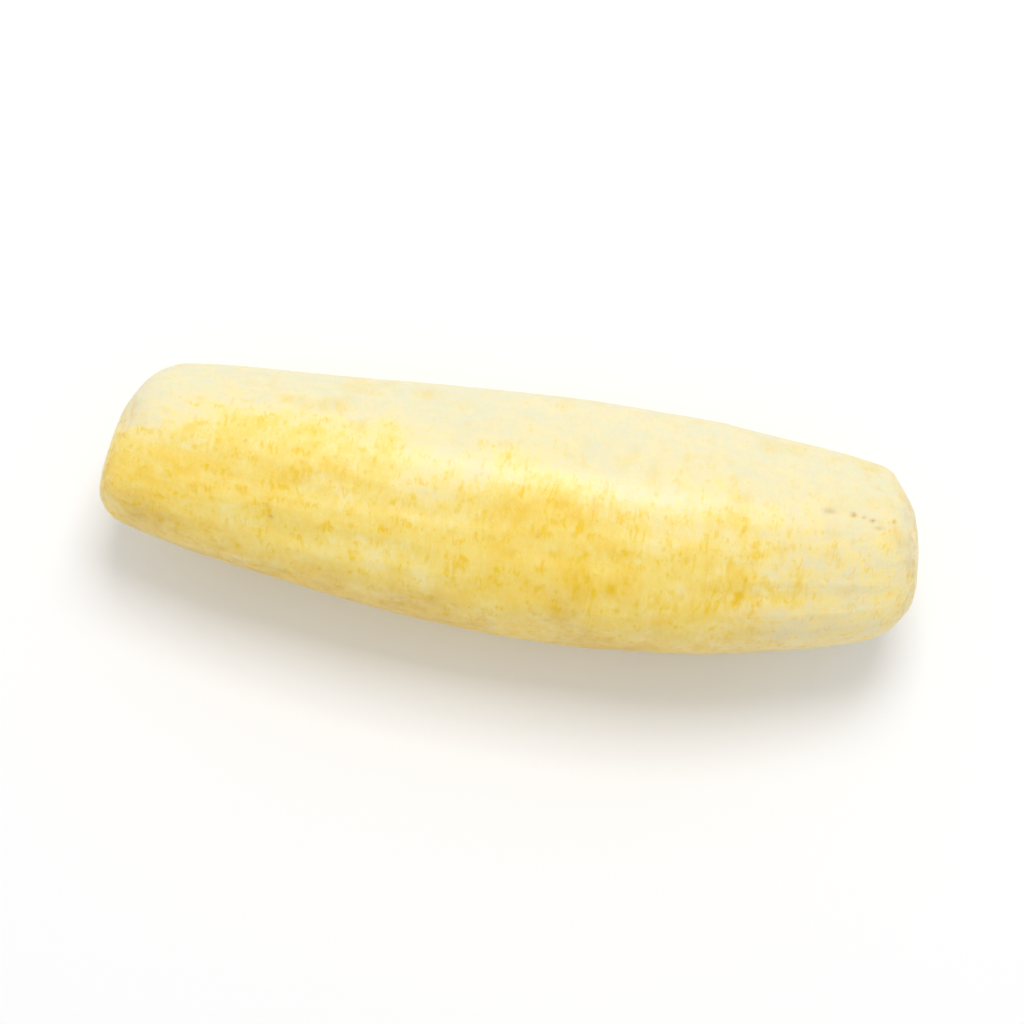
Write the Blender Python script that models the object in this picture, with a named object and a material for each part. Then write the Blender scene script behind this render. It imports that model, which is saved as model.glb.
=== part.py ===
# A whole peeled cooking banana, lying on its side: one piece of firm raw flesh,
# bent a little, with soft ridges along it and both ends trimmed flat by a knife.
# +X runs along the length, the outer side of the bend faces -Y, and +Z is up.
# The origin is in the middle of the length and width, on the surface it lies on.

import math

import bmesh
import bpy

MM = 0.001

# The length along the spine, to which the leaning cuts add about 1 mm overall, the
# flesh at its fattest place, and how it thins towards each end
LENGTH = 119.2 * MM
WIDTH = 36.2 * MM
HEIGHT = 34.6 * MM
FATTEST_AT = 12.0 * MM
LEFT_THINNING = 0.375
RIGHT_THINNING = 0.375
THINNING_POWER = 2.3

# The bend: how far the middle of the spine stands out from the line of its ends
BEND_RISE = 2.9 * MM

# The soft ridges that the fruit's faces leave, turning slowly along the length
RIDGE_COUNT = 5
RIDGE_HEIGHT = 0.34 * MM
RIDGE_ANGLE = math.radians(76.0)
RIDGE_TWIST = math.radians(9.0)

# Slow swelling that winds round the flesh, so that no two places are quite the same
SWELL_HEIGHT = 0.22 * MM
SWELL_LENGTH = 64.0 * MM
SWELL_START = math.radians(34.0)

# The trimmed ends: how the cut leans towards the inner side of the bend, how steeply
# its slight dome meets the rim, and how far the rim is rounded on the inner and on
# the outer side of the bend
LEFT_LEAN = math.radians(5.5)
RIGHT_LEAN = math.radians(3.0)
LEAN_FADE_POWER = 8
CUT_DOME = math.radians(11.0)
LEFT_RIM = {"inner": 6.6 * MM, "outer": 3.4 * MM}
RIGHT_RIM = {"inner": 5.2 * MM, "outer": 6.6 * MM}

# Flats that the peeling knife left: the angle round the flesh, from the inner
# side of the bend over the top, the place along it, and how deep the knife went
KNIFE_FLATS = (
    {"angle": 34.0, "at": -26.0 * MM, "depth": 0.36 * MM},
    {"angle": 112.0, "at": 34.0 * MM, "depth": 0.30 * MM},
    {"angle": 128.0, "at": -34.0 * MM, "depth": 0.26 * MM},
    {"angle": 172.0, "at": 6.0 * MM, "depth": 0.30 * MM},
    {"angle": 228.0, "at": 38.0 * MM, "depth": 0.38 * MM},
    {"angle": 222.0, "at": -36.0 * MM, "depth": 0.40 * MM},
    {"angle": 318.0, "at": 30.0 * MM, "depth": 0.38 * MM},
    {"angle": 338.0, "at": -40.0 * MM, "depth": 0.34 * MM},
)
KNIFE_EDGE_SOFTNESS = 0.07 * MM

# The underside is pressed flat this far where the flesh lies on the surface
REST_FLATTENING = 0.9 * MM

# The mesh: sides round the flesh, and rings along the cuts, rims and body
SIDES = 56
FACE_RINGS = 5
RIM_RINGS = 7
BODY_RINGS = 46
END_RINGS = FACE_RINGS + RIM_RINGS
RINGS = 2 * END_RINGS + BODY_RINGS

FLESH_COLOUR = (0.86, 0.68, 0.31, 1.0)
FLESH_ROUGHNESS = 0.45


def clear_scene():
    for thing in list(bpy.data.objects):
        bpy.data.objects.remove(thing, do_unlink=True)


def rim_radius(end, around):
    # The rim is blended from its inner value at +Y to its outer value at -Y
    rim = LEFT_RIM if end < 0 else RIGHT_RIM
    inner_share = 0.5 + 0.5 * math.cos(around)
    return rim["outer"] + (rim["inner"] - rim["outer"]) * inner_share


def end_radius(end):
    return WIDTH / 2 * thickness_share(end * LENGTH / 2)


def end_outline(end, around, step):
    # From the middle of the cut, step 0, over its slight dome and round its rim:
    # gives the distance from the middle of the length, and the share of the radius
    rim = rim_radius(end, around)
    rim_share = rim / end_radius(end)
    cut_share = 1.0 - rim_share * (1.0 - math.sin(CUT_DOME))
    dome_height = math.tan(CUT_DOME) * cut_share * end_radius(end) / 2
    if step <= FACE_RINGS:
        out = step / FACE_RINGS
        return LENGTH / 2 - dome_height * out * out, cut_share * out
    turn = CUT_DOME + (math.pi / 2 - CUT_DOME) * (step - FACE_RINGS) / RIM_RINGS
    distance = LENGTH / 2 - dome_height - rim * (math.cos(CUT_DOME) - math.cos(turn))
    return distance, 1.0 - rim_share * (1.0 - math.sin(turn))


def place_on_outline(ring, around):
    # Gives the station along the spine and the share of the full radius there
    end = -1 if ring < RINGS / 2 else 1
    from_end = min(ring, RINGS - ring)
    if from_end <= END_RINGS:
        distance, share = end_outline(end, around, from_end)
        return end * distance, share
    left = -end_outline(-1, around, END_RINGS)[0]
    right = end_outline(1, around, END_RINGS)[0]
    return left + (right - left) * (ring - END_RINGS) / BODY_RINGS, 1.0


def thickness_share(station):
    # 1 at the fattest place, less towards both ends
    if station < FATTEST_AT:
        reach, thinning = FATTEST_AT + LENGTH / 2, LEFT_THINNING
    else:
        reach, thinning = LENGTH / 2 - FATTEST_AT, RIGHT_THINNING
    return 1.0 - thinning * (abs(station - FATTEST_AT) / reach) ** THINNING_POWER


def half_sizes(station):
    share = thickness_share(station)
    return WIDTH / 2 * share, (HEIGHT + REST_FLATTENING) / 2 * share


def relief(station, around):
    ridge_angle = RIDGE_ANGLE + RIDGE_TWIST * station / LENGTH
    ridges = RIDGE_HEIGHT * math.cos(RIDGE_COUNT * (around - ridge_angle))
    wound = 2.0 * math.pi * station / SWELL_LENGTH + 2.0 * around
    return ridges + SWELL_HEIGHT * math.sin(wound + SWELL_START)


def reach_towards(station, angle):
    # How far the plain oval section reaches from the spine in that direction
    across, up = half_sizes(station)
    return math.hypot(across * math.cos(angle), up * math.sin(angle))


def shave(station, across, up):
    # Each knife flat is a plane that touches the body at its own place, moved in
    for flat in KNIFE_FLATS:
        angle = math.radians(flat["angle"])
        near = reach_towards(flat["at"], angle)
        slope = (reach_towards(flat["at"] + MM, angle) - near) / MM
        plane = near - flat["depth"] + slope * (station - flat["at"])
        distance = across * math.cos(angle) + up * math.sin(angle) - plane
        cut = KNIFE_EDGE_SOFTNESS * math.log1p(math.exp(distance / KNIFE_EDGE_SOFTNESS))
        across -= cut * math.cos(angle)
        up -= cut * math.sin(angle)
    return across, up


def bend(station, across, up):
    # The spine is an arc that rises towards +Y at both ends
    radius = (LENGTH / 2) ** 2 / (2.0 * BEND_RISE)
    turn = station / radius
    x = (radius - across) * math.sin(turn)
    y = radius - (radius - across) * math.cos(turn)
    return x, y, up


def lean_of_cut(station, across):
    # The cuts lean by shifting the flesh along the spine, most at the very end
    lean = LEFT_LEAN if station < 0 else -RIGHT_LEAN
    nearness = (2.0 * abs(station) / LENGTH) ** LEAN_FADE_POWER
    return station + math.tan(lean) * across * nearness


def flesh_point(ring, around):
    station, share = place_on_outline(ring, around)
    across, up = half_sizes(station)
    bump = relief(station, around)
    across = (across + bump) * math.cos(around)
    up = (up + bump) * math.sin(around)
    across, up = shave(station, across, up)
    across, up = across * share, up * share
    return bend(lean_of_cut(station, across), across, up)


def shape_flesh(mesh):
    # A sphere's rings, pole to pole, become the cuts, rims and body of the flesh
    work = bmesh.new()
    bmesh.ops.create_uvsphere(work, u_segments=SIDES, v_segments=RINGS, radius=1.0)
    for vert in work.verts:
        height = max(-1.0, min(1.0, vert.co.z))
        ring = round(math.acos(-height) / math.pi * RINGS)
        around = math.atan2(vert.co.y, vert.co.x)
        vert.co = flesh_point(ring, around)
    settle(work)
    work.to_mesh(mesh)
    work.free()


def settle(work):
    # The underside is flattened, and the origin comes under the middle of it
    surface = min(vert.co.z for vert in work.verts) + REST_FLATTENING
    xs = [vert.co.x for vert in work.verts]
    ys = [vert.co.y for vert in work.verts]
    middle_x = (min(xs) + max(xs)) / 2
    middle_y = (min(ys) + max(ys)) / 2
    for vert in work.verts:
        up = max(vert.co.z - surface, 0.0)
        vert.co = (vert.co.x - middle_x, vert.co.y - middle_y, up)


def flesh_material():
    material = bpy.data.materials.new("banana_flesh")
    material.use_nodes = True
    shader = material.node_tree.nodes["Principled BSDF"]
    shader.inputs["Base Color"].default_value = FLESH_COLOUR
    shader.inputs["Roughness"].default_value = FLESH_ROUGHNESS
    shader.inputs["Metallic"].default_value = 0.0
    material.diffuse_color = FLESH_COLOUR
    return material


def make_flesh(collection):
    mesh = bpy.data.meshes.new("peeled_banana")
    shape_flesh(mesh)
    mesh.shade_smooth()
    mesh.materials.append(flesh_material())
    flesh = bpy.data.objects.new("peeled_banana", mesh)
    collection.objects.link(flesh)
    return flesh


def main():
    clear_scene()
    collection = bpy.data.collections.new("cooking_banana")
    bpy.context.scene.collection.children.link(collection)
    make_flesh(collection)


main()
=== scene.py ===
import math
import random

import bmesh
import bpy
import numpy as np
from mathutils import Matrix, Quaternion, Vector, noise


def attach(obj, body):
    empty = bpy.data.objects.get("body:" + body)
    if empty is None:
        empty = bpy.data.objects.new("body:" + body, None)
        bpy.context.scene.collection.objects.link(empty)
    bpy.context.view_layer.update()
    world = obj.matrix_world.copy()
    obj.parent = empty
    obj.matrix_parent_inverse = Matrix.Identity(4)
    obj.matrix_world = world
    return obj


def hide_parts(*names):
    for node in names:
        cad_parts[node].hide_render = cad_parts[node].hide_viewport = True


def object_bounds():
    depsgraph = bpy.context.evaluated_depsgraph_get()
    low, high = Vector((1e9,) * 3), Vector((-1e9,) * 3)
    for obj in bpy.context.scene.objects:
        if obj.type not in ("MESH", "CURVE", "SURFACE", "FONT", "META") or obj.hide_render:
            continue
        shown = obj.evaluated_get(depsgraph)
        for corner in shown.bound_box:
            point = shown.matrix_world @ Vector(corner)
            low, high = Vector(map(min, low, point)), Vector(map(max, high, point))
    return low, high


# A whole peeled cooking banana on a pale floor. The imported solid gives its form. A copy
# of that mesh is refined here, then gets its fine relief and the look of raw flesh.
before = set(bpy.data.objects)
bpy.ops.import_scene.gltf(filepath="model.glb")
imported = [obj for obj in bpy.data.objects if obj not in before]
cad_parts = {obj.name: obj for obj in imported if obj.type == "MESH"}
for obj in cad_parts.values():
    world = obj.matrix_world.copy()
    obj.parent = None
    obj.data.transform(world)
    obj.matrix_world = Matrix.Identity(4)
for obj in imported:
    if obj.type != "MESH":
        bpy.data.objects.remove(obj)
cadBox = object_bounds()
print("frame loaded:", sorted(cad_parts))

mm = 0.001

# How the camera looks at the fruit
viewSettings = {
    "lens": 120.0,
    "sensor": 36.0,
    "elevation": math.radians(80.0),     # above the floor, seen from the outer side of the bend
    "tilt": math.radians(8.5),           # how far the fruit lies turned in the picture
    "lengthInFrame": 0.80,
    "clip": (0.01, 20.0),
}
pictureWidth = (cadBox[1].x - cadBox[0].x) / viewSettings["lengthInFrame"]
cameraDistance = pictureWidth * viewSettings["lens"] / viewSettings["sensor"]


# Helpers for node trees and colours
def screenColour(red, green, blue):
    # 0-255 values as a screen shows them, made linear for the shader
    def linear(value):
        share = value / 255
        return share / 12.92 if share <= 0.04045 else ((share + 0.055) / 1.055) ** 2.4
    return (linear(red), linear(green), linear(blue), 1.0)


def addNode(tree, kind, inputs=None, **settings):
    node = tree.nodes.new(kind)
    for name, value in settings.items():
        setattr(node, name, value)
    for name, value in (inputs or {}).items():
        if isinstance(value, bpy.types.NodeSocket):
            tree.links.new(value, node.inputs[name])
        else:
            node.inputs[name].default_value = value
    return node


def calc(tree, operation, first, second=0.0, third=0.0, clamp=False):
    sockets = {0: first, 1: second, 2: third}
    node = addNode(tree, "ShaderNodeMath", sockets, operation=operation, use_clamp=clamp)
    return node.outputs[0]


def scaled(tree, value, times, plus=0.0):
    return calc(tree, "MULTIPLY_ADD", value, times, plus)


def fade(tree, value, low, high, fromLow=0.0, toHigh=1.0):
    # eases from fromLow to toHigh while value goes from low to high
    sockets = {
        "Value": value, "From Min": low, "From Max": high, "To Min": fromLow, "To Max": toHigh,
    }
    node = addNode(tree, "ShaderNodeMapRange", sockets, interpolation_type="SMOOTHSTEP")
    return node.outputs["Result"]


def blendColours(tree, factor, first, second):
    # this node's colour sockets share their names with its others, so they go by number
    sockets = {0: factor, 6: first, 7: second}
    node = addNode(tree, "ShaderNodeMix", sockets, data_type="RGBA", clamp_factor=True)
    return node.outputs[2]


def colourRamp(tree, value, stops):
    node = addNode(tree, "ShaderNodeValToRGB", {"Fac": value})
    ramp = node.color_ramp
    ramp.interpolation = "LINEAR"
    while len(ramp.elements) < len(stops):
        ramp.elements.new(0.5)
    for element, (place, colour) in zip(ramp.elements, stops):
        element.position = place
        element.color = colour
    return node.outputs["Color"]


def stretched(tree, vector, scale):
    return addNode(tree, "ShaderNodeMapping", {"Vector": vector, "Scale": scale}).outputs["Vector"]


def cloudy(tree, vector, scale, detail, roughness):
    sockets = {"Vector": vector, "Scale": scale, "Detail": detail, "Roughness": roughness}
    return addNode(tree, "ShaderNodeTexNoise", sockets).outputs["Fac"]


def nudged(tree, vector, scale, detail, reach):
    # the vector moved about by up to half of reach, so that round shapes turn irregular
    waves = {"Vector": vector, "Scale": scale, "Detail": detail}
    drift = addNode(tree, "ShaderNodeTexNoise", waves)
    sockets = {0: drift.outputs["Color"], 1: (reach, reach, reach), 2: vector}
    node = addNode(tree, "ShaderNodeVectorMath", sockets, operation="MULTIPLY_ADD")
    return node.outputs["Vector"]


def scattered(tree, vector, look):
    # soft dots, one in each cell at most: only some cells get one, of a size drawn for each
    smallest, largest = look["radii"]
    without = 1 - look["share"]
    cells = addNode(tree, "ShaderNodeTexVoronoi", {"Vector": vector, "Scale": look["scale"]})
    draws = addNode(tree, "ShaderNodeSeparateColor", {"Color": cells.outputs["Color"]})
    radius = scaled(tree, draws.outputs["Red"], largest - smallest, smallest)
    away = calc(tree, "DIVIDE", cells.outputs["Distance"], radius)
    dot = fade(tree, away, look["core"], 1.0, 1.0, 0.0)
    drawn = fade(tree, draws.outputs["Green"], without - look["faint"], without + look["faint"])
    return calc(tree, "MULTIPLY", dot, drawn)


# The flesh: its refined mesh
fleshShape = {
    "mergeWithin": 0.01 * mm,
    "cuts": 4,                   # new edges across each side of the solid's faces
    "smoothPasses": 16,
    "smoothing": 0.5,
    "bendRise": 2.9 * mm,        # how the solid bends and thins
    "fattestAt": 12.0 * mm,
    "thinning": 0.375,
    "thinningPower": 2.3,
    "spineDrop": 0.4 * mm,       # how far the spine runs below half the height
    "nominalRadius": 18.0 * mm,  # of the straight, even copy that patterns are laid on
    "restEdge": 0.6 * mm,        # height over which relief starts above the resting spot
    "cutFacing": (0.86, 0.96),   # how straight along the fruit the surface faces on the cuts
    "rimFrom": (0.55, 0.90),     # and on the rims beside them
    "rimUntil": (0.93, 0.985),
}
# Each noise is read in its own place, so that no two of them look alike
noiseShifts = {
    "fibre": 0.0,
    "grain": 0.05,
    "uneven": 0.11,
    "lump": 0.17,
    "core": 0.4,
    "knife": 0.0,
    "cloud": 0.31,
    "patch": 0.47,
    "tanEdge": 0.77,
    "tanPatch": 0.91,
    "blot": 0.63,
    "smallBlot": 0.29,
}


def copyOfSolid(name, node):
    mesh = bpy.data.meshes.new(name)
    work = bmesh.new()
    work.from_mesh(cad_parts[node].data)
    bmesh.ops.remove_doubles(work, verts=work.verts, dist=fleshShape["mergeWithin"])
    bmesh.ops.join_triangles(
        work, faces=work.faces, angle_face_threshold=math.pi, angle_shape_threshold=math.pi,
    )
    bmesh.ops.subdivide_edges(work, edges=work.edges, cuts=fleshShape["cuts"], use_grid_fill=True)
    for _ in range(fleshShape["smoothPasses"]):
        bmesh.ops.smooth_vert(
            work, verts=work.verts, factor=fleshShape["smoothing"],
            use_axis_x=True, use_axis_y=True, use_axis_z=True,
        )
    for face in work.faces:
        face.smooth = True
    work.to_mesh(mesh)
    work.free()
    mesh.update()
    return mesh


def readPoints(mesh):
    points = np.empty(len(mesh.vertices) * 3, np.float32)
    mesh.vertices.foreach_get("co", points)
    normals = np.empty(len(mesh.vertices) * 3, np.float32)
    mesh.vertex_normals.foreach_get("vector", normals)
    return points.reshape(-1, 3).astype(float), normals.reshape(-1, 3).astype(float)


def writePoints(mesh, points):
    low, high = cadBox
    inside = np.clip(points, np.array(low), np.array(high))
    mesh.vertices.foreach_set("co", inside.astype(np.float32).ravel())
    mesh.update()


def addAttribute(mesh, name, values):
    kind, field = ("FLOAT_VECTOR", "vector") if values.ndim == 2 else ("FLOAT", "value")
    attribute = mesh.attributes.new(name, kind, "POINT")
    attribute.data.foreach_set(field, values.astype(np.float32).ravel())


def rise(values, low, high):
    # smoothly from 0 at low to 1 at high
    share = np.clip((values - low) / (high - low), 0, 1)
    return share * share * (3 - 2 * share)


def band(values, start, end):
    # up over the pair of values in start, and down again over the pair in end
    return rise(values, *start) * (1 - rise(values, *end))


def noiseAt(vectors, size, name):
    # one smooth noise value for each row; size is its wave, one for all axes or one for each
    waves = (vectors + noiseShifts[name]) / np.array(size)
    return np.array([noise.noise(row) for row in waves.tolist()])


def placeInView(points):
    # along and across as the camera sees each point, in the plane through the fruit's middle
    low, high = cadBox
    rising = viewSettings["elevation"]
    up = points[:, 2] - (low.z + high.z) / 2
    nearer = up * math.sin(rising) - points[:, 1] * math.cos(rising)
    across = points[:, 1] * math.sin(rising) + up * math.cos(rising)
    return np.stack([points[:, 0], across], axis=1) / (1 - nearer / cameraDistance)[:, None]


def fleshPlace(points):
    # where each point is on the fruit: along it, off its spine, round it, and on an even copy
    low, high = cadBox
    half = (high.x - low.x) / 2
    along = points[:, 0]
    across = points[:, 1] - fleshShape["bendRise"] * (along / half) ** 2
    up = points[:, 2] - ((high.z - low.z) / 2 - fleshShape["spineDrop"])
    fattest = fleshShape["fattestAt"]
    away = np.abs(along - fattest) / np.where(along < fattest, half + fattest, half - fattest)
    thick = 1 - fleshShape["thinning"] * away ** fleshShape["thinningPower"]
    return {
        "along": along,
        "across": across,
        "up": up,
        "around": np.arctan2(up, across),
        "even": np.stack([along, across / thick, up / thick], axis=1),
        "inView": placeInView(points),
    }


def turnFrom(around, angle):
    # the angle round the fruit from one place to another, between -pi and pi
    return np.angle(np.exp(1j * (around - angle)))


bodyRelief = {
    "fibreDepth": 0.050 * mm,
    "fibreSize": (34.0 * mm, 1.7 * mm, 1.7 * mm),
    "fibreSwing": 1.6,                   # the noise seldom comes near 1, so it is raised
    "fibreSharpness": 0.7,
    "grainDepth": 0.030 * mm,
    "grainSize": (1.0 * mm, 3.6 * mm, 3.6 * mm),
    "unevenDepth": 0.24 * mm,
    "unevenSize": 12.0 * mm,
    "lumpDepth": 0.10 * mm,
    "lumpSize": (6.5 * mm, 4.5 * mm, 4.5 * mm),
    "strokes": 44,                       # long flats that the peeling knife left
    "strokeStart": (-60.0 * mm, 30.0 * mm),
    "strokeDepth": (0.06 * mm, 0.24 * mm),
    "strokeLength": (16.0 * mm, 46.0 * mm),
    "strokeSlant": 0.12,
    "strokeEnds": (0.0, 0.2),            # shares of its length over which each end sets in
    "pits": 210,
    "pitPlaces": (-55.0 * mm, 55.0 * mm),
    "pitRadius": (0.35 * mm, 0.85 * mm),
    "pitDepth": (0.04 * mm, 0.14 * mm),
    "seed": 7,
}


def strokeDepths(place, draw):
    depth = np.zeros(len(place["along"]))
    for _ in range(bodyRelief["strokes"]):
        start = draw.uniform(*bodyRelief["strokeStart"])
        length = draw.uniform(*bodyRelief["strokeLength"])
        angle = draw.uniform(-math.pi, math.pi)
        slant = draw.uniform(-bodyRelief["strokeSlant"], bodyRelief["strokeSlant"])
        deep = draw.uniform(*bodyRelief["strokeDepth"])
        travel = (place["along"] - start) / length
        ends = rise(np.minimum(travel, 1 - travel), *bodyRelief["strokeEnds"])
        turn = turnFrom(place["around"], angle + slant * travel)
        chord = deep * ends - fleshShape["nominalRadius"] * (1 - np.cos(turn))
        depth += np.where(chord > 0, chord, 0)
    return depth


def pitMarks(place, draw):
    # how deep each point is in a pit, and the same as a share for the material
    depth = np.zeros(len(place["along"]))
    share = np.zeros(len(place["along"]))
    for _ in range(bodyRelief["pits"]):
        centre = draw.uniform(*bodyRelief["pitPlaces"])
        angle = draw.uniform(-math.pi, math.pi)
        radius = draw.uniform(*bodyRelief["pitRadius"])
        deep = draw.uniform(*bodyRelief["pitDepth"])
        turn = turnFrom(place["around"], angle) * fleshShape["nominalRadius"]
        pit = np.exp(-((place["along"] - centre) ** 2 + turn ** 2) / radius ** 2)
        depth += deep * pit
        share = np.maximum(share, pit * deep / bodyRelief["pitDepth"][1])
    return depth, share


def bodyDepths(place):
    draw = random.Random(bodyRelief["seed"])
    even = place["even"]
    fibres = np.abs(noiseAt(even, bodyRelief["fibreSize"], "fibre")) ** bodyRelief["fibreSharpness"]
    depth = bodyRelief["fibreDepth"] * bodyRelief["fibreSwing"] * fibres
    for name in ("grain", "uneven", "lump"):
        share = 0.5 + 0.5 * noiseAt(even, bodyRelief[name + "Size"], name)
        depth += bodyRelief[name + "Depth"] * share
    depth += strokeDepths(place, draw)
    pits, hollow = pitMarks(place, draw)
    return depth + pits, hollow


cutFaces = {
    "turn": {-1: math.radians(20), 1: math.radians(75)},  # how the core lies in each cut
    "coreParts": 3,
    "coreRadius": 2.5 * mm,
    "coreLobes": 0.22,
    "coreEdge": (0.45, 1.15),            # shares of its radius over which the core ends
    "coreWander": 0.35 * mm,
    "coreWanderSize": 2.2 * mm,
    "coreDepth": 0.30 * mm,
    "seamWidth": 0.38 * mm,
    "seamStart": (0.0, 1.4 * mm),
    "seamReach": (4.6 * mm, 7.4 * mm),
    "seamDepth": 0.16 * mm,
    "seedsInPart": 6,
    "seedAngle": (0.10, 0.55),           # in radians, from the middle of their part
    "seedReach": (1.9 * mm, 5.0 * mm),
    "seedSize": (0.42 * mm, 0.25 * mm),
    "seedGrowth": (0.7, 1.2),
    "seedTone": (0.25, 1.0),
    "seedDepth": 0.05 * mm,
    "knifeDepth": 0.08 * mm,             # fine lines that the knife left on the cuts
    "knifeSpacing": 0.8 * mm,
    "knifeWander": 0.1,
    "knifeChange": 0.3,                  # what sets the lines of one cut off from the other
    "nicks": 7,                          # small flats trimmed off each rim
    "nickZone": 40.0 * mm,               # nothing nearer to the middle is trimmed
    "nickSpread": 0.35,                  # a share of the angle between two nicks
    "nickTilt": (34, 68),                # in degrees away from the fruit's length
    "nickDepth": (0.12 * mm, 0.50 * mm),
    "nickSoftness": 0.05 * mm,
    "seed": 23,
}


def coreMarks(place, end, draw):
    # the three-part core in the middle of a cut: core, seams between its parts, and seeds
    parts = cutFaces["coreParts"]
    reach = np.hypot(place["across"], place["up"])
    wander = cutFaces["coreWander"] * noiseAt(place["even"], cutFaces["coreWanderSize"], "core")
    turn = place["around"] - cutFaces["turn"][end]
    coreEdge = cutFaces["coreRadius"] * (1 + cutFaces["coreLobes"] * np.cos(parts * turn))
    edgeStart, edgeEnd = cutFaces["coreEdge"]
    core = 1 - rise(reach + wander, edgeStart * coreEdge, edgeEnd * coreEdge)
    seams = np.zeros(len(reach))
    seeds = np.zeros(len(reach))
    for part in range(parts):
        middle = turnFrom(turn, part * 2 * math.pi / parts)
        side = turnFrom(turn, (part + 0.5) * 2 * math.pi / parts)
        off = reach * np.sin(side) + wander
        seam = np.exp(-(off / cutFaces["seamWidth"]) ** 2) * (np.cos(side) > 0)
        seam *= band(reach, cutFaces["seamStart"], cutFaces["seamReach"])
        seams = np.maximum(seams, seam)
        for _ in range(cutFaces["seedsInPart"]):
            angle = draw.choice((-1, 1)) * draw.uniform(*cutFaces["seedAngle"])
            out = draw.uniform(*cutFaces["seedReach"])
            long, wide = (
                size * draw.uniform(*cutFaces["seedGrowth"]) for size in cutFaces["seedSize"]
            )
            tone = draw.uniform(*cutFaces["seedTone"])
            spot = ((reach - out) / long) ** 2 + (out * np.sin(middle - angle) / wide) ** 2
            seeds = np.maximum(seeds, tone * np.exp(-spot) * (np.cos(middle) > 0))
    return core, seams, seeds


def cutDepths(place, cutMask):
    draw = random.Random(cutFaces["seed"])
    marks = {name: np.zeros(len(cutMask)) for name in ("core", "seams", "seeds")}
    depth = np.zeros(len(cutMask))
    for end in (-1, 1):
        here = cutMask * (place["along"] * end > 0)
        core, seams, seeds = coreMarks(place, end, draw)
        angle = draw.uniform(0, math.pi)
        lines = np.stack([
            place["across"] * math.cos(angle) + place["up"] * math.sin(angle),
            cutFaces["knifeWander"] * place["up"],
            np.full(len(cutMask), end * cutFaces["knifeChange"]),
        ], axis=1)
        knife = 0.5 + 0.5 * noiseAt(lines, cutFaces["knifeSpacing"], "knife")
        down = cutFaces["coreDepth"] * core
        down += cutFaces["seamDepth"] * seams
        down += cutFaces["seedDepth"] * seeds
        down += cutFaces["knifeDepth"] * knife
        depth += down * here
        for name, values in (("core", core), ("seams", seams), ("seeds", seeds)):
            marks[name] = np.maximum(marks[name], values * here)
    return depth, marks


def trimRims(points, place):
    # each nick is a plane laid on the rim, moved in a little, that the points stay behind
    draw = random.Random(cutFaces["seed"] + 1)
    soft = cutFaces["nickSoftness"]
    spread = cutFaces["nickSpread"]
    for end in (-1, 1):
        near = place["along"] * end > cutFaces["nickZone"]
        for nick in range(cutFaces["nicks"]):
            angle = (nick + draw.uniform(-spread, spread)) * 2 * math.pi / cutFaces["nicks"]
            tilt = math.radians(draw.uniform(*cutFaces["nickTilt"]))
            away = np.array([
                end * math.cos(tilt),
                math.sin(tilt) * math.cos(angle),
                math.sin(tilt) * math.sin(angle),
            ])
            distance = points @ away
            limit = distance[near].max() - draw.uniform(*cutFaces["nickDepth"])
            beyond = soft * np.logaddexp(0, (distance - limit) / soft)
            points = points - np.where(near, beyond, 0)[:, None] * away
    return points


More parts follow.
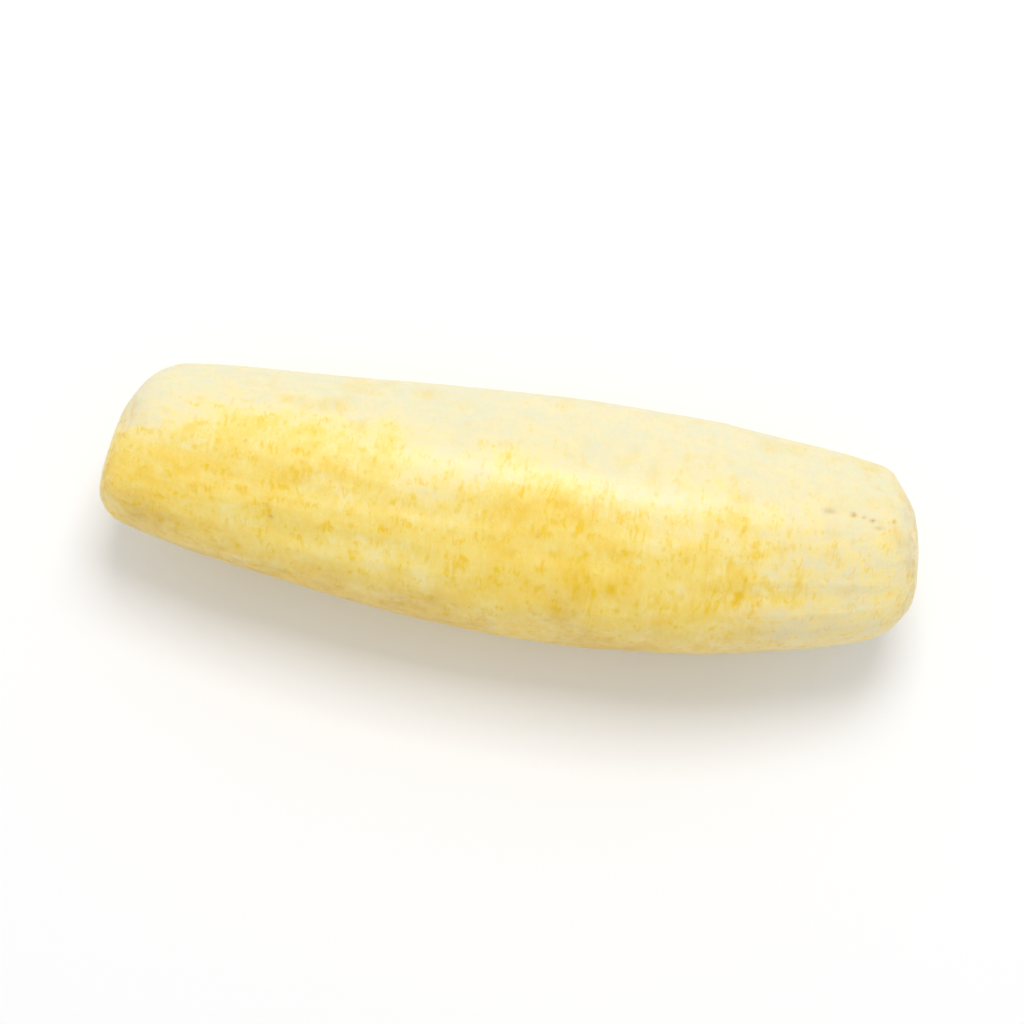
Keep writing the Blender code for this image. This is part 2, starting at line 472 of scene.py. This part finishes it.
# Where the flesh is cream, yellow or golden, as broad soft fields on the mesh. The cream on the
# inner side is partly the flesh's own tone and partly painted light, and the tan low on the outer
# side is painted shade. Angles go round the fruit in degrees, from the inner side of its bend over
# the top.
fleshFields = {
    # the inner side, which faces the light, is partly the flesh's own pale cream and partly painted
    # light
    "creamAndLitSideWarmth": 0.20,
    "yellowWarmth": 0.74,
    "yellowFrom": (42, 118),
    "yellowUntil": (202, 266),
    "edgeWander": 22,
    "creamSwing": 0.35,                  # how much of the clouds and patches the cream gets
    "tanFrom": (132, 184),               # painted shade: a beige tint low on the outer side
    "tanUntil": (188, 236),
    "tanWander": 22,
    "tanWanderSize": 8.0 * mm,
    "tanPatch": (-0.5, 0.25),
    "tanPatchSize": 23.0 * mm,
    "tanStrength": 0.64,
    "tanLoss": 0.75,                     # it fades where the flesh pales
    "cloudSize": 17.0 * mm,
    "cloudStrength": 0.15,
    "patchSize": 6.5 * mm,
    "patchStrength": 0.12,
    "paleEnd": (22 * mm, 56 * mm),       # the flesh pales towards the right end
    "paleEndLoss": 0.31,
    "blotSize": (10.0 * mm, 8.0 * mm, 8.0 * mm),
    "smallBlots": 0.65,
    "smallBlotSize": (2.8 * mm, 3.6 * mm, 3.6 * mm),
    "blotSwing": 0.9,
    "blotLevel": 0.34,                   # where the noise is above it, there is a blot
    "blotLevelDrop": 0.16,
    "blotLimit": 0.5,
    "moreBlots": (-4 * mm, 10 * mm),     # golden blots are commoner on the right half
    "rightPaler": 0.04,                  # and the flesh between them is paler
    "topSide": (-2 * mm, 2 * mm),        # the marks below are laid on the upper side alone
    # golden places, along and across as the camera sees them, with half lengths and strength
    "goldPlaces": (
        {"at": (34.9 * mm, -7.5 * mm), "size": (1.2 * mm, 1.3 * mm), "deep": 1.0},
        {"at": (35.4 * mm, -4.9 * mm), "size": (0.6 * mm, 0.7 * mm), "deep": 0.9},
        {"at": (34.2 * mm, -8.5 * mm), "size": (0.9 * mm, 0.7 * mm), "deep": 0.85},
        {"at": (34.6 * mm, -6.4 * mm), "size": (4.0 * mm, 4.2 * mm), "deep": 0.5},
        {"at": (32.7 * mm, -3.9 * mm), "size": (0.45 * mm, 1.2 * mm), "deep": 0.6},
        {"at": (35.7 * mm, -2.3 * mm), "size": (0.7 * mm, 0.5 * mm), "deep": 0.6},
        {"at": (39.4 * mm, -2.7 * mm), "size": (0.5 * mm, 0.8 * mm), "deep": 0.55},
        {"at": (40.1 * mm, -5.1 * mm), "size": (0.5 * mm, 0.6 * mm), "deep": 0.55},
        {"at": (37.8 * mm, -8.3 * mm), "size": (0.45 * mm, 0.45 * mm), "deep": 0.85},
        {"at": (37.5 * mm, -10.1 * mm), "size": (0.45 * mm, 1.3 * mm), "deep": 0.6},
        {"at": (40.4 * mm, -7.4 * mm), "size": (1.3 * mm, 1.2 * mm), "deep": 0.4},
        {"at": (29.9 * mm, -4.0 * mm), "size": (0.9 * mm, 1.2 * mm), "deep": 0.45},
        {"at": (10.6 * mm, -8.0 * mm), "size": (1.8 * mm, 2.6 * mm), "deep": 0.55},
        {"at": (12.4 * mm, -8.1 * mm), "size": (0.7 * mm, 1.2 * mm), "deep": 0.95},
        {"at": (11.0 * mm, -9.6 * mm), "size": (0.8 * mm, 0.6 * mm), "deep": 0.85},
        {"at": (11.1 * mm, -11.3 * mm), "size": (0.8 * mm, 0.6 * mm), "deep": 0.6},
        {"at": (16.1 * mm, -9.1 * mm), "size": (0.9 * mm, 1.1 * mm), "deep": 1.0},
        {"at": (17.1 * mm, -3.4 * mm), "size": (0.6 * mm, 0.5 * mm), "deep": 0.95},
        {"at": (16.5 * mm, -3.7 * mm), "size": (2.8 * mm, 1.2 * mm), "deep": 0.45},
        {"at": (17.4 * mm, -12.2 * mm), "size": (0.6 * mm, 0.5 * mm), "deep": 0.9},
        {"at": (18.3 * mm, -8.0 * mm), "size": (2.5 * mm, 2.0 * mm), "deep": 0.42},
        {"at": (20.1 * mm, -10.8 * mm), "size": (0.5 * mm, 0.9 * mm), "deep": 0.55},
        {"at": (6.8 * mm, -5.4 * mm), "size": (0.45 * mm, 0.5 * mm), "deep": 0.75},
        {"at": (5.7 * mm, -7.8 * mm), "size": (0.5 * mm, 0.45 * mm), "deep": 0.6},
        {"at": (9.4 * mm, -2.1 * mm), "size": (0.5 * mm, 0.5 * mm), "deep": 0.6},
        {"at": (24.0 * mm, -13.0 * mm), "size": (1.2 * mm, 1.8 * mm), "deep": 0.45},
        {"at": (28.4 * mm, -10.0 * mm), "size": (0.9 * mm, 2.0 * mm), "deep": 0.45},
        {"at": (33.4 * mm, 7.0 * mm), "size": (1.8 * mm, 1.5 * mm), "deep": 0.45},
        {"at": (43.0 * mm, -5.0 * mm), "size": (2.6 * mm, 3.0 * mm), "deep": 0.36},
        {"at": (-35.3 * mm, -5.2 * mm), "size": (0.5 * mm, 1.1 * mm), "deep": 0.9},
    ),
    # small brown specks, most of them in a row near the right end
    "speckPlaces": (
        {"at": (46.1 * mm, 7.1 * mm), "size": (0.95 * mm, 0.40 * mm), "deep": 0.45},
        {"at": (49.7 * mm, 7.1 * mm), "size": (0.36 * mm, 0.30 * mm), "deep": 0.75},
        {"at": (51.3 * mm, 6.9 * mm), "size": (0.28 * mm, 0.24 * mm), "deep": 0.55},
        {"at": (52.5 * mm, 6.6 * mm), "size": (0.34 * mm, 0.26 * mm), "deep": 0.80},
        {"at": (53.6 * mm, 5.6 * mm), "size": (0.60 * mm, 0.24 * mm), "deep": 0.40},
        {"at": (55.7 * mm, 6.9 * mm), "size": (0.24 * mm, 0.24 * mm), "deep": 0.60},
        {"at": (-35.9 * mm, -4.3 * mm), "size": (0.24 * mm, 0.34 * mm), "deep": 0.55},
        {"at": (-34.9 * mm, -6.0 * mm), "size": (0.40 * mm, 0.26 * mm), "deep": 0.60},
        {"at": (-40.2 * mm, 4.6 * mm), "size": (0.26 * mm, 0.24 * mm), "deep": 0.50},
        {"at": (4.2 * mm, -3.0 * mm), "size": (0.30 * mm, 0.30 * mm), "deep": 0.45},
    ),
}


def spotField(place, spots):
    # each spot is strongest in its middle, and nearly gone past its half lengths
    deepest = np.zeros(len(place["along"]))
    onTop = rise(place["up"], *fleshFields["topSide"])
    for spot in spots:
        away = (place["inView"] - np.array(spot["at"])) / np.array(spot["size"])
        shown = np.exp(-(away ** 2).sum(axis=1)) * onTop
        deepest = np.maximum(deepest, spot["deep"] * shown)
    return deepest


def warmthField(place):
    cloud = noiseAt(place["even"], fleshFields["cloudSize"], "cloud")
    patch = noiseAt(place["even"], fleshFields["patchSize"], "patch")
    # partly painted light: round the fruit, the inner side is left pale cream, and the top and
    # outer side are yellow
    degrees = np.degrees(place["around"]) % 360 + fleshFields["edgeWander"] * cloud
    yellow = band(degrees, fleshFields["yellowFrom"], fleshFields["yellowUntil"])
    warmth = fleshFields["creamAndLitSideWarmth"] * (1 - yellow) + fleshFields["yellowWarmth"] * yellow
    swing = fleshFields["cloudStrength"] * cloud + fleshFields["patchStrength"] * patch
    calm = fleshFields["creamSwing"]
    warmth += swing * (calm + (1 - calm) * yellow)
    warmth -= fleshFields["paleEndLoss"] * rise(place["along"], *fleshFields["paleEnd"]) * yellow
    warmth -= fleshFields["rightPaler"] * rise(place["along"], *fleshFields["moreBlots"]) * yellow
    return np.clip(warmth, 0, 1)


# painted shade: a tan tint low on the outer side of the bend, darkening the lower edge seen from
# above
def paintedLowShadeField(place):
    wander = noiseAt(place["even"], fleshFields["tanWanderSize"], "tanEdge")
    degrees = np.degrees(place["around"]) % 360 + fleshFields["tanWander"] * wander
    shade = band(degrees, fleshFields["tanFrom"], fleshFields["tanUntil"])
    shade *= 1 - fleshFields["tanLoss"] * rise(place["along"], *fleshFields["paleEnd"])
    patch = noiseAt(place["even"], fleshFields["tanPatchSize"], "tanPatch")
    return fleshFields["tanStrength"] * shade * rise(patch, *fleshFields["tanPatch"])


def goldField(place):
    blots = noiseAt(place["even"], fleshFields["blotSize"], "blot")
    small = noiseAt(place["even"], fleshFields["smallBlotSize"], "smallBlot")
    blots += fleshFields["smallBlots"] * small
    lower = fleshFields["blotLevelDrop"] * rise(place["along"], *fleshFields["moreBlots"])
    level = fleshFields["blotLevel"] - lower
    gold = np.clip(fleshFields["blotSwing"] * blots - level, 0, fleshFields["blotLimit"])
    return np.maximum(gold, spotField(place, fleshFields["goldPlaces"]))


def makeFlesh():
    mesh = copyOfSolid("bananaFlesh", "peeled_banana")
    points, normals = readPoints(mesh)
    place = fleshPlace(points)
    facing = np.abs(normals[:, 0])
    cutMask = rise(facing, *fleshShape["cutFacing"])
    bodyMask = (1 - cutMask) * rise(points[:, 2], 0, fleshShape["restEdge"])
    bodyDepth, hollow = bodyDepths(place)
    cutDepth, marks = cutDepths(place, cutMask)
    points = points - normals * (bodyDepth * bodyMask + cutDepth)[:, None]
    writePoints(mesh, trimRims(points, place))
    attributes = {
        "fleshPlace": place["even"] / mm,
        "cutMask": cutMask,
        "rimBand": band(facing, fleshShape["rimFrom"], fleshShape["rimUntil"]),
        "hollow": hollow * bodyMask,
        "warmth": warmthField(place),
        "gold": goldField(place),
        "paintedLowShade": paintedLowShadeField(place),
        "specks": spotField(place, fleshFields["speckPlaces"]),
        "seeds": marks["seeds"],
        "core": marks["core"],
        "seams": marks["seams"],
    }
    for name, values in attributes.items():
        addAttribute(mesh, name, values)
    flesh = bpy.data.objects.new("bananaFlesh", mesh)
    bpy.context.scene.collection.objects.link(flesh)
    print("flesh mesh:", sum(len(face.vertices) - 2 for face in mesh.polygons), "triangles")
    return flesh


# The flesh: its material, with lengths in millimetres
fleshLook = {
    "tones": (                           # from greenish cream over pale yellow to deep yellow
        (0.08, screenColour(231, 226, 190)),
        (0.36, screenColour(242, 229, 180)),
        (0.50, screenColour(251, 231, 160)),
        (0.66, screenColour(251, 224, 124)),
        (0.98, screenColour(248, 210, 82)),
    ),
    "smear": screenColour(246, 229, 154),
    "paleMark": screenColour(236, 212, 112),
    "gold": screenColour(238, 195, 0),
    "mustard": screenColour(243, 203, 0),
    "tan": screenColour(202, 156, 50),
    "rimTan": screenColour(222, 186, 106),
    "speckBrown": screenColour(178, 120, 10),
    "seedBrown": screenColour(142, 84, 22),
    "cutFace": screenColour(249, 236, 186),
    "coreTone": screenColour(232, 200, 118),
    "roughness": 0.42,
    "dampSwing": 0.30,                   # how much the roughness varies
    "cutRougher": 0.12,
    "bumpHeight": 0.12 * mm,
    "bumpStrength": 0.6,
    "moist": {                           # plain values of the shader
        "Subsurface Weight": 0.30,
        "Subsurface Radius": (1.0, 0.62, 0.25),
        "Subsurface Scale": 1.8 * mm,
        "Specular IOR Level": 0.40,
        "Coat Weight": 0.09,
        "Coat Roughness": 0.22,
    },
}
# Scales are waves in each millimetre, and stretch thins them out along, across and up
fleshPatterns = {
    "clouds": {"scale": 0.30, "detail": 3.0, "roughness": 0.5, "stretch": (1.0, 1.0, 1.0)},
    "mottle": {"scale": 1.4, "detail": 4.0, "roughness": 0.7, "stretch": (1.0, 0.5, 0.5)},
    "smears": {"scale": 0.62, "detail": 1.0, "roughness": 0.4, "stretch": (1.0, 0.6, 0.6)},
    "clusters": {"scale": 0.22, "detail": 2.0, "roughness": 0.5, "stretch": (1.0, 1.0, 1.0)},
    "pieces": {"scale": 0.50, "detail": 2.0, "roughness": 0.5, "stretch": (1.0, 1.0, 1.0)},
    "bands": {"scale": 1.0, "detail": 1.0, "roughness": 0.4, "stretch": (1.0, 0.26, 0.26)},
    "wisps": {"scale": 1.15, "detail": 3.0, "roughness": 0.6, "stretch": (1.0, 0.34, 0.34)},
    "lowShade": {"scale": 0.40, "detail": 2.0, "roughness": 0.5, "stretch": (1.0, 1.0, 1.0)},
    "faceShade": {"scale": 0.60, "detail": 3.0, "roughness": 0.6, "stretch": (1.0, 1.0, 1.0)},
    "damp": {"scale": 0.50, "detail": 3.0, "roughness": 0.6, "stretch": (1.0, 1.0, 1.0)},
    "fibres": {"scale": 1.4, "detail": 2.0, "roughness": 0.5, "stretch": (0.05, 1.0, 1.0)},
    "grain": {"scale": 2.4, "detail": 4.0, "roughness": 0.65, "stretch": (1.0, 1.0, 1.0)},
}
# What makes the marks irregular: noise that moves them about
fleshDrifts = {
    "dots": {"scale": 1.4, "detail": 2.0, "reach": 0.3},
    "streaks": {"scale": 1.0, "detail": 2.0, "reach": 0.4},
    "wisps": {"scale": 0.9, "detail": 2.0, "reach": 0.8},
}
# Soft dots: cells in a millimetre, and radii in cells. The core is the share of a radius
# that has the full tone. The share of cells with a dot ends softly: a few have a faint one.
fleshDotSizes = {
    "large": {
        "scale": 0.85, "radii": (0.16, 0.40), "core": 0.15,
        "share": 0.50, "faint": 0.1, "stretch": (1.0, 0.68, 0.68),
    },
    "small": {
        "scale": 1.70, "radii": (0.16, 0.42), "core": 0.15,
        "share": 0.55, "faint": 0.1, "stretch": (1.0, 0.80, 0.80),
    },
}
# Between the first two values of a pattern, its mask goes from the third to the fourth
fleshFades = {
    "smears": (0.46, 0.80, 0.0, 0.42),
    "clusters": (0.38, 0.60, 0.30, 1.0),
    "lines": (0.005, 0.120, 1.0, 0.0),
    "pieces": (0.50, 0.66, 0.0, 1.0),
    "wispyGold": (0.38, 0.64, 0.45, 1.25),
    "plainGold": (0.30, 0.95, 0.0, 0.95),
    "ripe": (0.20, 0.60, 0.0, 1.0),
    "lowShade": (0.3, 0.7, 0.5, 1.0),
    "rim": (0.40, 0.66, 0.05, 0.50),
}
# How strongly the rest shows. Pairs are for cream and for yellow flesh.
fleshStrengths = {
    "clouds": 0.62,
    "mottle": 0.54,
    "smallDots": 0.55,
    "dots": (0.26, 1.00),
    "streaks": (0.04, 1.00),
    "marks": 0.95,
    "marksOnGold": 0.3,
    "hollows": 0.30,
    "face": 0.40,
    "faceSwing": 0.5,
    "core": 0.75,
    "specks": 0.85,
    "seeds": 0.76,
    "wispRelief": 0.35,
    "fibreRelief": 0.30,
    "grainRelief": 0.60,
}


def readAttribute(tree, name, output="Fac"):
    return addNode(tree, "ShaderNodeAttribute", attribute_name=name).outputs[output]


def pattern(tree, place, name):
    look = fleshPatterns[name]
    vector = stretched(tree, place, look["stretch"])
    return cloudy(tree, vector, look["scale"], look["detail"], look["roughness"])


def drifting(tree, place, name):
    drift = fleshDrifts[name]
    return nudged(tree, place, drift["scale"], drift["detail"], drift["reach"])


def dotsOf(tree, place, name):
    look = fleshDotSizes[name]
    return scattered(tree, stretched(tree, place, look["stretch"]), look)


def swingOf(tree, place, name):
    # the pattern, made to swing as far below nothing as above it
    strength = fleshStrengths[name]
    return scaled(tree, pattern(tree, place, name), strength, -strength / 2)


def shownOn(tree, warm, name):
    # how strongly such marks show, from cream to yellow flesh
    onCream, onYellow = fleshStrengths[name]
    return scaled(tree, warm, onYellow - onCream, onCream)


def fleshTones(tree, place):
    # cream to deep yellow, with clouds of two sizes and pale smears
    broad = calc(tree, "ADD", readAttribute(tree, "warmth"), swingOf(tree, place, "clouds"))
    warm = calc(tree, "ADD", broad, swingOf(tree, place, "mottle"), clamp=True)
    tones = colourRamp(tree, warm, fleshLook["tones"])
    smears = fade(tree, pattern(tree, place, "smears"), *fleshFades["smears"])
    smearShare = calc(tree, "MULTIPLY", smears, warm)
    return blendColours(tree, smearShare, tones, fleshLook["smear"]), warm


def fleshDots(tree, place, warm):
    # soft golden dots, longer across the fruit than along it, in loose clusters
    loose = drifting(tree, place, "dots")
    small = scaled(tree, dotsOf(tree, loose, "small"), fleshStrengths["smallDots"])
    both = calc(tree, "MAXIMUM", dotsOf(tree, loose, "large"), small)
    clusters = fade(tree, pattern(tree, place, "clusters"), *fleshFades["clusters"])
    clustered = calc(tree, "MULTIPLY", both, clusters)
    return calc(tree, "MULTIPLY", clustered, shownOn(tree, warm, "dots"))


def fleshStreaks(tree, place, warm):
    # thin streaks across the fruit: the middle values of one noise, broken up by another
    bands = pattern(tree, drifting(tree, place, "streaks"), "bands")
    offMiddle = calc(tree, "ABSOLUTE", calc(tree, "SUBTRACT", bands, 0.5))
    lines = fade(tree, offMiddle, *fleshFades["lines"])
    pieces = fade(tree, pattern(tree, place, "pieces"), *fleshFades["pieces"])
    broken = calc(tree, "MULTIPLY", lines, pieces)
    return calc(tree, "MULTIPLY", broken, shownOn(tree, warm, "streaks"))


def bodyColour(tree, place, wisps):
    look = fleshLook
    strength = fleshStrengths
    gold = readAttribute(tree, "gold")
    colour, warm = fleshTones(tree, place)
    ripe = fade(tree, warm, *fleshFades["ripe"])

    wispyGold = calc(tree, "MULTIPLY", gold, fade(tree, wisps, *fleshFades["wispyGold"]))
    plainGold = fade(tree, gold, *fleshFades["plainGold"])
    stain = calc(tree, "MAXIMUM", wispyGold, plainGold, clamp=True)
    stainTone = blendColours(tree, ripe, look["paleMark"], look["gold"])
    colour = blendColours(tree, stain, colour, stainTone)

    marks = calc(tree, "MAXIMUM", fleshDots(tree, place, warm), fleshStreaks(tree, place, warm))
    markStrength = scaled(tree, gold, strength["marksOnGold"], strength["marks"])
    markShare = calc(tree, "MULTIPLY", marks, markStrength, clamp=True)
    markTone = blendColours(tree, ripe, look["paleMark"], look["mustard"])
    colour = blendColours(tree, markShare, colour, markTone)

    hollow = scaled(tree, readAttribute(tree, "hollow"), strength["hollows"])
    colour = blendColours(tree, hollow, colour, look["gold"])

    # painted shade: the tan tint low on the outer side
    lowShade = fade(tree, pattern(tree, place, "lowShade"), *fleshFades["lowShade"])
    paintedShadeShare = calc(tree, "MULTIPLY", readAttribute(tree, "paintedLowShade"), lowShade)
    return blendColours(tree, paintedShadeShare, colour, look["tan"])


def endColour(tree, place, wisps, cutMask, colour):
    # the cut faces are paler, with the core and its seams, and the rims have browned a little
    look = fleshLook
    strength = fleshStrengths
    faceShade = pattern(tree, place, "faceShade")
    faceStrength = scaled(tree, faceShade, strength["faceSwing"], strength["face"])
    faceShare = calc(tree, "MULTIPLY", cutMask, faceStrength)
    colour = blendColours(tree, faceShare, colour, look["cutFace"])
    coreShare = calc(tree, "MAXIMUM", readAttribute(tree, "core"), readAttribute(tree, "seams"))
    colour = blendColours(tree, scaled(tree, coreShare, strength["core"]), colour, look["coreTone"])
    rimShade = fade(tree, wisps, *fleshFades["rim"])
    rimShare = calc(tree, "MULTIPLY", readAttribute(tree, "rimBand"), rimShade)
    colour = blendColours(tree, rimShare, colour, look["rimTan"])
    specks = scaled(tree, readAttribute(tree, "specks"), strength["specks"])
    colour = blendColours(tree, specks, colour, look["speckBrown"])
    seeds = scaled(tree, readAttribute(tree, "seeds"), strength["seeds"])
    return blendColours(tree, seeds, colour, look["seedBrown"])


def fleshHeight(tree, place, wisps):
    strength = fleshStrengths
    height = scaled(tree, wisps, strength["wispRelief"])
    height = scaled(tree, pattern(tree, place, "fibres"), strength["fibreRelief"], height)
    return scaled(tree, pattern(tree, place, "grain"), strength["grainRelief"], height)


def fleshMaterial():
    look = fleshLook
    material = bpy.data.materials.new("rawBananaFlesh")
    material.use_nodes = True
    tree = material.node_tree
    shader = tree.nodes["Principled BSDF"]
    for name, value in look["moist"].items():
        shader.inputs[name].default_value = value
    place = readAttribute(tree, "fleshPlace", "Vector")
    cutMask = readAttribute(tree, "cutMask")
    wisps = pattern(tree, drifting(tree, place, "wisps"), "wisps")

    colour = endColour(tree, place, wisps, cutMask, bodyColour(tree, place, wisps))
    tree.links.new(colour, shader.inputs["Base Color"])

    smoothest = look["roughness"] - look["dampSwing"] / 2
    roughness = scaled(tree, pattern(tree, place, "damp"), look["dampSwing"], smoothest)
    roughness = scaled(tree, cutMask, look["cutRougher"], roughness)
    tree.links.new(roughness, shader.inputs["Roughness"])

    sockets = {
        "Strength": look["bumpStrength"],
        "Distance": look["bumpHeight"],
        "Height": fleshHeight(tree, place, wisps),
    }
    bump = addNode(tree, "ShaderNodeBump", sockets)
    tree.links.new(bump.outputs["Normal"], shader.inputs["Normal"])
    return material


# The stage: floor, light and camera
stageSettings = {
    "floorSize": 6.0,
    "floorColour": screenColour(250, 250, 251),
    "floorRoughness": 0.8,
    "worldColour": screenColour(255, 255, 255),
    "worldStrength": 0.69,
    "keyPower": 3.3,
    "keySize": 0.36,
    "keyPlace": (0.02, 0.34, 0.80),
}


def makeFloor():
    mesh = bpy.data.meshes.new("floor")
    work = bmesh.new()
    bmesh.ops.create_grid(work, x_segments=1, y_segments=1, size=stageSettings["floorSize"] / 2)
    work.to_mesh(mesh)
    work.free()
    material = bpy.data.materials.new("paleFloor")
    material.use_nodes = True
    shader = material.node_tree.nodes["Principled BSDF"]
    shader.inputs["Base Color"].default_value = stageSettings["floorColour"]
    shader.inputs["Roughness"].default_value = stageSettings["floorRoughness"]
    mesh.materials.append(material)
    floor = bpy.data.objects.new("floor", mesh)
    bpy.context.scene.collection.objects.link(floor)


def makeWorld():
    world = bpy.data.worlds.new("paleRoom")
    world.use_nodes = True
    background = world.node_tree.nodes["Background"]
    background.inputs["Color"].default_value = stageSettings["worldColour"]
    background.inputs["Strength"].default_value = stageSettings["worldStrength"]
    bpy.context.scene.world = world


def makeKeyLight():
    data = bpy.data.lights.new("key", "AREA")
    data.size = stageSettings["keySize"]
    data.energy = stageSettings["keyPower"]
    lamp = bpy.data.objects.new("key", data)
    lamp.location = stageSettings["keyPlace"]
    towards = (cadBox[0] + cadBox[1]) / 2 - lamp.location
    lamp.rotation_euler = towards.to_track_quat("-Z", "Y").to_euler()
    bpy.context.scene.collection.objects.link(lamp)


def makeCamera():
    data = bpy.data.cameras.new("camera")
    data.lens = viewSettings["lens"]
    data.sensor_width = viewSettings["sensor"]
    data.clip_start, data.clip_end = viewSettings["clip"]
    rising = viewSettings["elevation"]
    back = Vector((0.0, -math.cos(rising), math.sin(rising)))
    roll = Quaternion((0, 0, 1), viewSettings["tilt"])
    camera = bpy.data.objects.new("camera", data)
    camera.location = (cadBox[0] + cadBox[1]) / 2 + back * cameraDistance
    camera.rotation_mode = "QUATERNION"
    camera.rotation_quaternion = (-back).to_track_quat("-Z", "Y") @ roll
    bpy.context.scene.collection.objects.link(camera)
    bpy.context.scene.camera = camera


flesh = makeFlesh()
flesh.data.materials.clear()
flesh.data.materials.append(fleshMaterial())
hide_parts("peeled_banana")
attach(flesh, "root")
print("flesh done")

makeFloor()
makeWorld()
makeKeyLight()
makeCamera()
bpy.context.scene.view_settings.view_transform = "Standard"
print("stage done")
